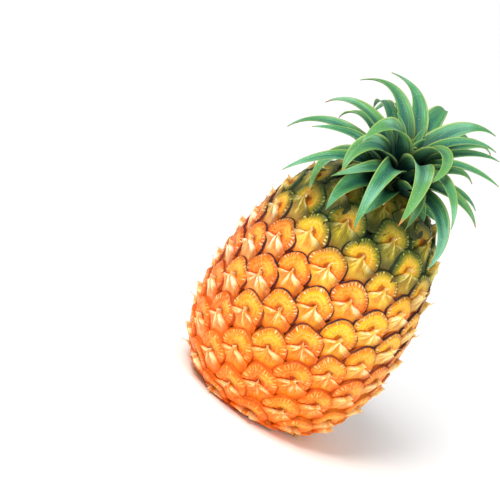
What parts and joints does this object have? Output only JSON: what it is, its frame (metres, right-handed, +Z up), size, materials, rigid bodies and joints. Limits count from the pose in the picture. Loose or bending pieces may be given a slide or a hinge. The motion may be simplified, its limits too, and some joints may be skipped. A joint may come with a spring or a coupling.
{
  "type": "pineapple",
  "caption": "Whole ripe pineapple standing on its cut base, with raised spiral eyes and a crown of curled green leaves that leans to one side.",
  "frame": {"origin": "centre of the flat base, where the cut stalk ends", "axes": "+Z up the fruit towards its crown, -Y the side that the crown leans towards, +X to the right seen from -Y"},
  "size_m": [0.1273, 0.1485, 0.2052],
  "materials": {
    "rind": "waxy, orange to golden with green towards the crown",
    "cut_stalk": "dry cut fibre",
    "crown_stem": "pale fibrous stem",
    "leaf": "waxy green with a pale bloom and a yellow-green edge"
  },
  "bodies": {
    "root": {"fruit": "rind", "stalk_stub": "cut_stalk", "crown_stem": "crown_stem", "leaf_01": "leaf", "leaf_02": "leaf", "leaf_03": "leaf", "leaf_04": "leaf", "leaf_05": "leaf", "leaf_06": "leaf", "leaf_07": "leaf", "leaf_08": "leaf", "leaf_09": "leaf", "leaf_10": "leaf", "leaf_11": "leaf", "leaf_12": "leaf", "leaf_13": "leaf", "leaf_14": "leaf", "leaf_15": "leaf", "leaf_16": "leaf", "leaf_17": "leaf", "leaf_18": "leaf", "leaf_19": "leaf", "leaf_20": "leaf", "leaf_21": "leaf", "leaf_22": "leaf", "leaf_23": "leaf", "leaf_24": "leaf", "leaf_25": "leaf", "leaf_26": "leaf", "leaf_27": "leaf", "leaf_28": "leaf", "leaf_29": "leaf", "leaf_30": "leaf", "leaf_31": "leaf", "leaf_32": "leaf", "leaf_33": "leaf"}
  },
  "joints": []
}
